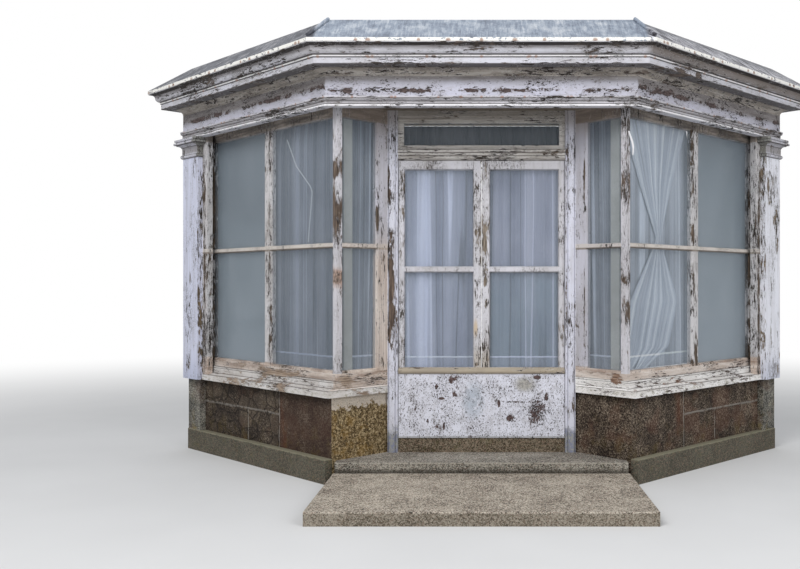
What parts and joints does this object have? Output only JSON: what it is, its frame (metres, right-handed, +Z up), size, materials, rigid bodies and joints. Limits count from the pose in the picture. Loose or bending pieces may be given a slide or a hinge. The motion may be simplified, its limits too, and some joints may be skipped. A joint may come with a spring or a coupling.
{
  "type": "corner shopfront bay window",
  "caption": "Old painted timber bay window on a street corner: splayed side windows on granite stallrisers, a recessed glazed double door and a moulded entablature with a lead top",
  "frame": {"origin": "on the ground, on the centre line, below the front face of the frieze", "axes": "+X to the right along the front as seen from the street, +Y into the building, +Z up"},
  "size_m": [5.5692, 2.6558, 3.1784],
  "materials": {
    "white_paint": "white oil paint on softwood, chalky, cracked and flaking",
    "cream_paint": "cream oil paint on softwood, thin and weathered",
    "tan_paint": "tan paint on softwood, worn",
    "bare_timber": "softwood weathered bare, with paint left in patches",
    "inner_boards": "dull brown-grey painted boarding",
    "inner_paint": "pale indoor paint",
    "beam_timber": "sawn softwood",
    "screen_board": "plain grey-green board",
    "granite": "axed brown-grey granite with pale mortar and lichen",
    "kerb_stone": "rough olive-grey concrete",
    "step_stone": "worn beige-grey stone with exposed aggregate",
    "sheet_lead": "dull weathered lead with pale streaks",
    "rod_metal": "dull brass",
    "window_glass": "clear drawn sheet glass, slightly dusty",
    "net_cloth": "fine lilac-grey net"
  },
  "bodies": {
    "root": {"lower_slab": "step_stone", "upper_step": "step_stone", "threshold": "step_stone", "stallriser_left": "granite", "stallriser_right": "granite", "kerb_left": "kerb_stone", "kerb_right": "kerb_stone", "pier_left": "granite", "pier_right": "granite", "sill_left": "bare_timber", "sill_right": "bare_timber", "corner_post_left": "bare_timber", "corner_post_right": "bare_timber", "splay_frame_left": "cream_paint", "splay_frame_right": "cream_paint", "splay_glass_left": "window_glass", "splay_glass_right": "window_glass", "return_frame_left": "cream_paint", "return_frame_right": "cream_paint", "return_glass": "window_glass", "door_jamb_left": "white_paint", "door_jamb_right": "white_paint", "door_head": "cream_paint", "transom": "cream_paint", "fanlight_frame": "cream_paint", "fanlight_glass": "window_glass", "door_leaf_left": "white_paint", "door_leaf_right": "white_paint", "door_glass": "window_glass", "ledge_moulding": "tan_paint", "kick_board": "white_paint", "pilaster_left": "white_paint", "pilaster_right": "white_paint", "capital_left": "white_paint", "capital_right": "white_paint", "architrave": "white_paint", "frieze": "white_paint", "cornice": "white_paint", "lead_roof": "sheet_lead", "soffit": "inner_boards", "bressummer": "beam_timber", "storey_posts": "inner_paint", "window_boards": "inner_boards", "window_screens": "screen_board", "curtain_rods": "rod_metal", "splay_curtains": "net_cloth", "return_curtains": "net_cloth", "door_curtains": "net_cloth", "fanlight_curtain": "net_cloth"}
  },
  "joints": []
}
